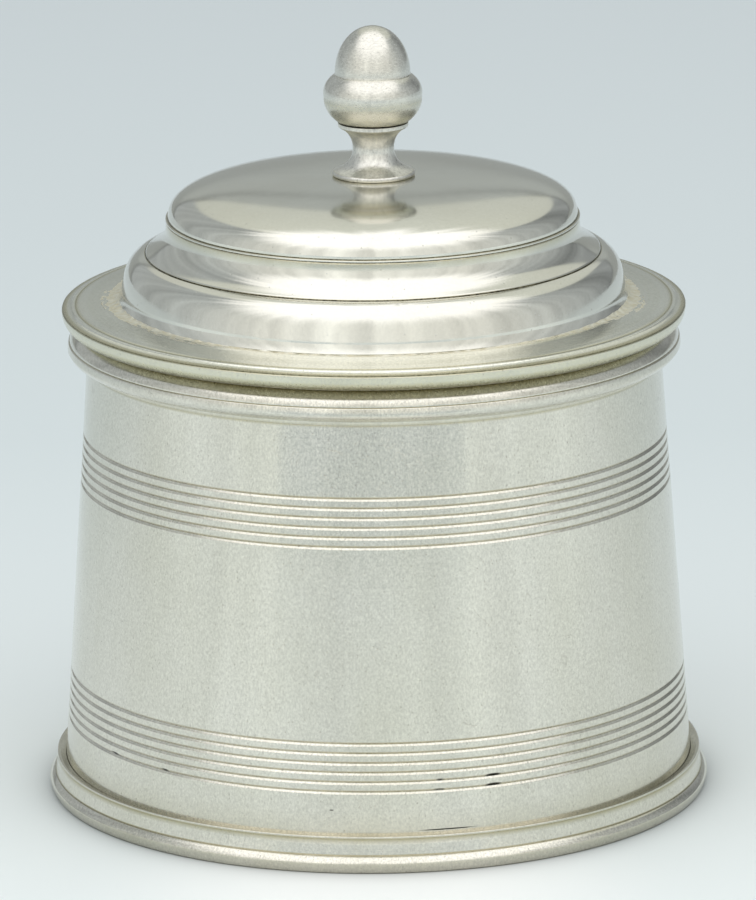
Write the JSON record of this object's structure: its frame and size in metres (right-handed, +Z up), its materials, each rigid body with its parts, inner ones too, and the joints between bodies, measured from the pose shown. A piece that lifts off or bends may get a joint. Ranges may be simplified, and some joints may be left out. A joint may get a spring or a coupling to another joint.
{
  "type": "humidor",
  "caption": "Round pewter humidor: tapered jar on a moulded foot, loose stepped lid with an acorn finial, and a pierced humidifier pan under the lid.",
  "frame": {"origin": "centre of the flat ring that the jar stands on", "axes": "+Z up along the axis of the jar and lid, through the finial"},
  "size_m": [0.142, 0.142, 0.1653],
  "materials": {
    "satin_pewter": "turned pewter worn to a satin, fine pits and scratches",
    "polished_pewter": "turned pewter, brighter hand polish",
    "inside_pewter": "as turned, dulled grey inside",
    "solder": "rough, crinkled and yellowed",
    "brass_screw": "turned brass, lightly tarnished",
    "pan_aluminium": "spun and pierced, matt",
    "sponge": "open-pored damp sponge"
  },
  "bodies": {
    "jar": {"jar_foot_ring": "satin_pewter", "jar_base_plate": "inside_pewter", "jar_wall": "satin_pewter", "jar_rim": "satin_pewter"},
    "lid": {"lid_flange": "satin_pewter", "lid_collar": "inside_pewter", "lid_dome": "polished_pewter", "lid_solder_seam": "solder", "finial_pedestal": "polished_pewter", "finial_acorn": "polished_pewter", "finial_stud": "brass_screw", "finial_washer": "brass_screw", "finial_lock_nut": "brass_screw"},
    "humidifier": {"humidifier_spacer": "brass_screw", "humidifier_pan": "pan_aluminium", "humidifier_sponge": "sponge", "humidifier_grille": "pan_aluminium", "humidifier_washer": "brass_screw"},
    "thumb_nut": {"humidifier_thumb_nut": "brass_screw"}
  },
  "joints": [
    {"name": "lid_lift", "type": "slide", "parent": "jar", "child": "lid", "axis": [0, 0, 1], "range_m": [0, 0.12]},
    {"name": "humidifier_lower", "type": "slide", "parent": "lid", "child": "humidifier", "axis": [0, 0, -1], "range_m": [0, 0.007]},
    {"name": "thumb_nut_turn", "type": "hinge", "parent": "humidifier", "child": "thumb_nut", "pos_m": [0, 0, 0.1028], "axis": [0, 0, -1], "range_deg": [0, 3600]}
  ],
  "couplings": [
    {"joint": "thumb_nut_turn", "follows": "humidifier_lower", "rad_per_m": 8976}
  ]
}
